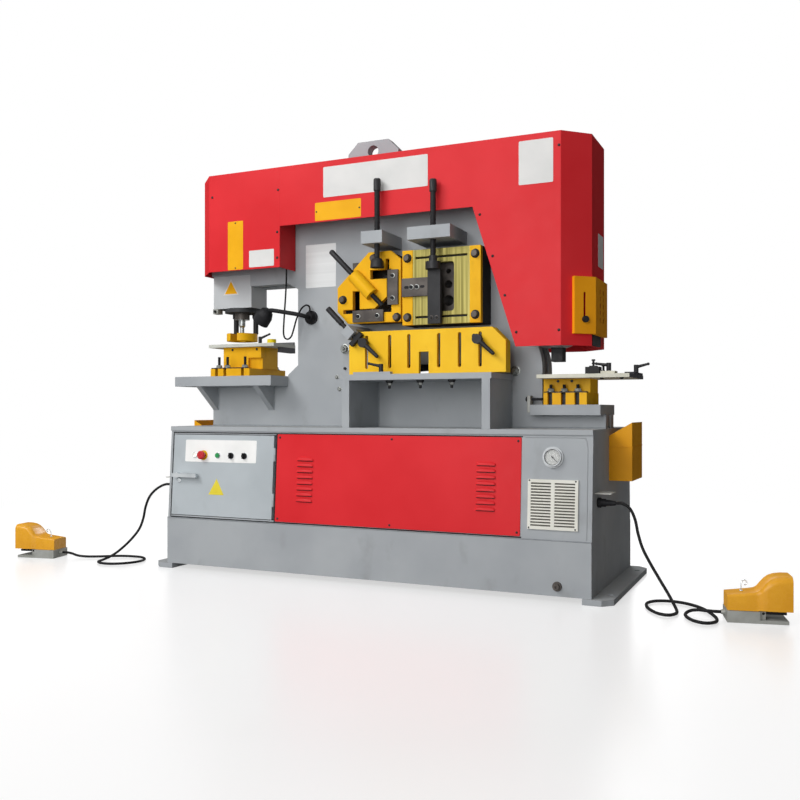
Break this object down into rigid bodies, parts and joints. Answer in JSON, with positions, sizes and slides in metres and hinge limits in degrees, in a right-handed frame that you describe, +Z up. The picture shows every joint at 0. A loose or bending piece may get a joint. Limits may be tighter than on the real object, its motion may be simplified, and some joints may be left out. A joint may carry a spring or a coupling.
{
  "type": "hydraulic ironworker machine",
  "caption": "Hydraulic ironworker on a cabinet base: punch, angle, bar, flat and notch stations on a twin-plate body under a red hood, with two foot switches.",
  "frame": {"origin": "on the floor at the middle of the four anchor holes, under the middle of the base", "axes": "+X along the machine towards the notching end, +Y from the operator to the back, +Z up"},
  "size_m": [3.6644, 0.9859, 2.03],
  "materials": {
    "grey_paint": "satin machine enamel",
    "red_paint": "gloss enamel",
    "yellow_paint": "gloss enamel",
    "tray_paint": "gloss enamel",
    "black_steel": "blackened",
    "bright_steel": "ground",
    "zinc_gold": "passivated and ground",
    "chrome": "polished",
    "white_plastic": "moulded",
    "black_plastic": "moulded",
    "red_plastic": "moulded",
    "green_plastic": "moulded",
    "cord_rubber": "matt",
    "pedal_base": "cast"
  },
  "bodies": {
    "frame": {"base_cabinet": "grey_paint", "front_panel": "red_paint", "vent_grille": "white_plastic", "gauge_case": "chrome", "electrical_plate": "bright_steel", "hydraulic_unit": "grey_paint", "body_front_plate": "grey_paint", "body_rear_plate": "grey_paint", "left_hood": "red_paint", "main_hood": "red_paint", "limit_switch_cover": "yellow_paint", "punch_housing": "grey_paint", "die_tables": "grey_paint", "die_holder": "yellow_paint", "punch_table": "bright_steel", "stripper": "yellow_paint", "shear_cylinder": "grey_paint", "body_ties": "grey_paint", "shear_plates": "yellow_paint", "blade_carriers": "black_steel", "blade_bars": "black_steel", "section_plate": "zinc_gold", "shear_box": "grey_paint", "notch_die": "yellow_paint", "notch_table": "bright_steel", "trays": "tray_paint", "work_lamp": "black_plastic", "lamp_cord": "cord_rubber", "cable_glands": "black_plastic", "pedal_bases": "pedal_base", "pedal_guards": "tray_paint", "left_pedal_cord": "cord_rubber", "right_pedal_cord": "cord_rubber"},
    "beam": {"shear_beam": "grey_paint", "moving_blades": "black_steel"},
    "rod": {"shear_rod": "bright_steel"},
    "ram": {"punch_ram": "black_steel"},
    "pointer": {"gauge_pointer": "black_steel"},
    "limit_slider": {"limit_knob": "black_plastic"},
    "punch_clamp": {"punch_lever": "black_steel"},
    "notch_clamp_inner": {"notch_lever_inner": "black_steel"},
    "notch_clamp_outer": {"notch_lever_outer": "black_steel"},
    "fence_clamp": {"fence_lever": "black_steel"},
    "left_pedal": {"left_tread": "black_plastic"},
    "right_pedal": {"right_tread": "black_plastic"},
    "door": {"cabinet_door": "grey_paint"},
    "handle": {"door_handle": "chrome"},
    "estop": {"estop_button": "red_plastic"},
    "start": {"start_button": "green_plastic"},
    "selector_a": {"selector_left": "black_plastic"},
    "selector_b": {"selector_right": "black_plastic"},
    "angle_holddown": {"angle_foot": "black_steel"},
    "angle_screw": {"angle_spindle": "black_steel"},
    "bar_holddown": {"section_foot": "black_steel"},
    "bar_screw": {"section_spindle": "black_steel"},
    "corner_stop": {"corner_spindle": "black_steel"},
    "guard_screw": {"guard_spindle": "black_steel"},
    "guard": {"flat_guard": "yellow_paint"},
    "guard_clamp_left": {"guard_lever_left": "black_steel"},
    "guard_clamp_right": {"guard_lever_right": "black_steel"}
  },
  "joints": [
    {"name": "beam_swing", "type": "hinge", "parent": "frame", "child": "beam", "pos_m": [-0.33, 0, 1.05], "axis": [0, 1, 0], "range_deg": [0, 3.6], "stiffness_Nm_per_rad": 30000, "springref_deg": -8.59},
    {"name": "rod_stroke", "type": "slide", "parent": "frame", "child": "rod", "axis": [0, 0, -1], "range_m": [0, 0.0718]},
    {"name": "ram_stroke", "type": "slide", "parent": "frame", "child": "ram", "axis": [0, 0, -1], "range_m": [0, 0.066]},
    {"name": "gauge_needle", "type": "hinge", "parent": "frame", "child": "pointer", "pos_m": [0.858, -0.38376, 0.56419], "axis": [0, -0.9979, 0.0654], "range_deg": [-270, 0]},
    {"name": "limit_setting", "type": "slide", "parent": "frame", "child": "limit_slider", "axis": [0, 0, 1], "range_m": [0, 0.108]},
    {"name": "punch_clamp_turn", "type": "hinge", "parent": "frame", "child": "punch_clamp", "pos_m": [-0.715, -0.07, 1.095], "axis": [0, 0, 1], "range_deg": [-60, 30]},
    {"name": "notch_clamp_inner_turn", "type": "hinge", "parent": "frame", "child": "notch_clamp_inner", "pos_m": [1.02, -0.11, 0.925], "axis": [0, 0, 1], "range_deg": [-45, 45]},
    {"name": "notch_clamp_outer_turn", "type": "hinge", "parent": "frame", "child": "notch_clamp_outer", "pos_m": [1.102, 0.06, 0.925], "axis": [0, 0, 1], "range_deg": [-60, 60]},
    {"name": "fence_clamp_turn", "type": "hinge", "parent": "frame", "child": "fence_clamp", "pos_m": [0.08, -0.332, 0.93], "axis": [0, 0, 1], "range_deg": [-45, 60]},
    {"name": "left_pedal_press", "type": "hinge", "parent": "frame", "child": "left_pedal", "pos_m": [-1.82912, -0.41985, 0.034], "axis": [0.1977, -0.9803, 0], "range_deg": [0, 8], "stiffness_Nm_per_rad": 12, "springref_deg": -6.88},
    {"name": "right_pedal_press", "type": "hinge", "parent": "frame", "child": "right_pedal", "pos_m": [1.61907, -0.40095, 0.034], "axis": [-0.2079, 0.9781, 0], "range_deg": [0, 8], "stiffness_Nm_per_rad": 12, "springref_deg": -6.88},
    {"name": "door_swing", "type": "hinge", "parent": "frame", "child": "door", "pos_m": [-0.43, -0.39192, 0.43957], "axis": [0, 0.0654, 0.9979], "range_deg": [0, 115]},
    {"name": "handle_turn", "type": "hinge", "parent": "door", "child": "handle", "pos_m": [-0.962, -0.39186, 0.44045], "axis": [0, -0.9979, 0.0654], "range_deg": [0, 90]},
    {"name": "estop_press", "type": "slide", "parent": "door", "child": "estop", "axis": [0, 0.9979, -0.0654], "range_m": [0, 0.006], "stiffness_N_per_m": 1500, "springref_m": -0.004},
    {"name": "start_press", "type": "slide", "parent": "door", "child": "start", "axis": [0, 0.9979, -0.0654], "range_m": [0, 0.004], "stiffness_N_per_m": 1500, "springref_m": -0.002},
    {"name": "selector_a_turn", "type": "hinge", "parent": "door", "child": "selector_a", "pos_m": [-0.665, -0.38545, 0.53824], "axis": [0, -0.9979, 0.0654], "range_deg": [-45, 45]},
    {"name": "selector_b_turn", "type": "hinge", "parent": "door", "child": "selector_b", "pos_m": [-0.592, -0.38545, 0.53824], "axis": [0, -0.9979, 0.0654], "range_deg": [-45, 45]},
    {"name": "angle_holddown_slide", "type": "slide", "parent": "frame", "child": "angle_holddown", "axis": [0, 0, -1], "range_m": [-0.04, 0.058]},
    {"name": "angle_screw_turn", "type": "hinge", "parent": "angle_holddown", "child": "angle_screw", "pos_m": [0.026, -0.26, 1.5], "axis": [0, 0, -1], "range_deg": [-2430, 3510]},
    {"name": "bar_holddown_slide", "type": "slide", "parent": "frame", "child": "bar_holddown", "axis": [0, 0, -1], "range_m": [-0.058, 0.0015]},
    {"name": "bar_screw_turn", "type": "hinge", "parent": "bar_holddown", "child": "bar_screw", "pos_m": [0.295, -0.26, 1.5], "axis": [0, 0, -1], "range_deg": [-3510, 120]},
    {"name": "corner_stop_slide", "type": "slide", "parent": "frame", "child": "corner_stop", "axis": [0.7071, 0, -0.7071], "range_m": [-0.058, 0.008]},
    {"name": "guard_screw_slide", "type": "slide", "parent": "frame", "child": "guard_screw", "axis": [0.7071, 0, -0.7071], "range_m": [-0.009, 0.003]},
    {"name": "guard_lift", "type": "slide", "parent": "frame", "child": "guard", "axis": [0, 0, 1], "range_m": [0, 0.022]},
    {"name": "guard_clamp_left_turn", "type": "hinge", "parent": "frame", "child": "guard_clamp_left", "pos_m": [-0.029, -0.29, 1.049], "axis": [0, -1, 0], "range_deg": [0, 60]},
    {"name": "guard_clamp_right_turn", "type": "hinge", "parent": "frame", "child": "guard_clamp_right", "pos_m": [0.508, -0.29, 1.049], "axis": [0, -1, 0], "range_deg": [0, 60]}
  ],
  "couplings": [
    {"joint": "rod_stroke", "follows": "beam_swing", "m_per_rad": 1.139},
    {"joint": "angle_screw_turn", "follows": "angle_holddown_slide", "rad_per_m": 1047.2},
    {"joint": "bar_screw_turn", "follows": "bar_holddown_slide", "rad_per_m": 1047.2}
  ]
}
